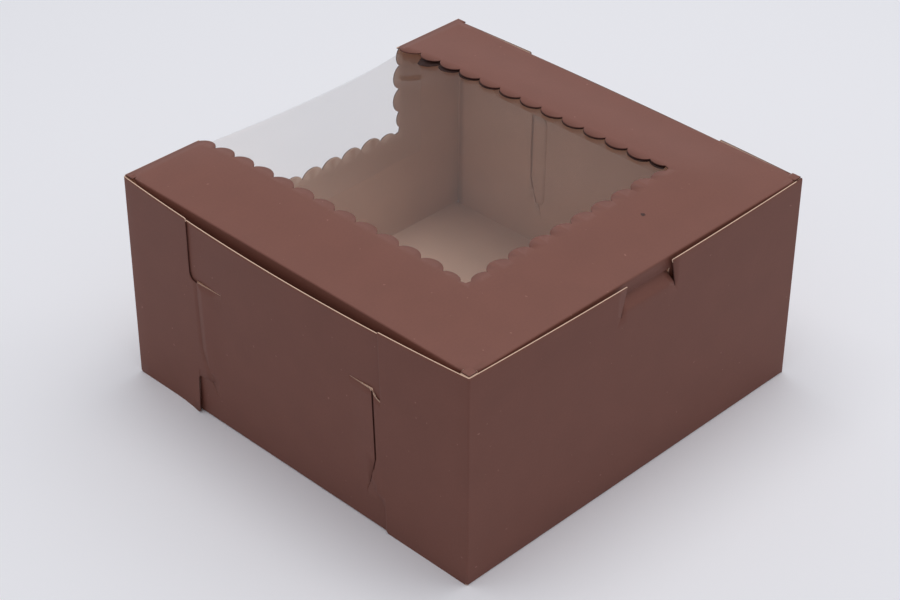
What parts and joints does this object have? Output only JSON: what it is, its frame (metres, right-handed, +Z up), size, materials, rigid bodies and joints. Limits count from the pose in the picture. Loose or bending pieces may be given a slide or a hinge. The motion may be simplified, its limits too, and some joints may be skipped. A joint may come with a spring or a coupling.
{
  "type": "pastry box",
  "caption": "Square folded-card bakery box with locked end walls, a hinged lid and a scalloped clear-film window that wraps over the hinge.",
  "frame": {"origin": "centre of the base, on the floor", "axes": "+Z up; the front wall with its lock tab faces -Y, the lid is hinged along the top of the +Y wall, the two locked end walls face -X and +X"},
  "size_m": [0.2114, 0.2084, 0.1067],
  "materials": {
    "board": "matt printed reddish brown outside, grey-brown inside, pale raw edges",
    "film": "clear glossy film"
  },
  "bodies": {
    "tray": {"carton_tray": "board", "window_film_back": "film"},
    "lid": {"carton_lid": "board", "window_film_lid": "film"}
  },
  "joints": [
    {"name": "lid_hinge", "type": "hinge", "parent": "tray", "child": "lid", "pos_m": [0, 0.1025, 0.1028], "axis": [-1, 0, 0], "range_deg": [0, 180]}
  ]
}
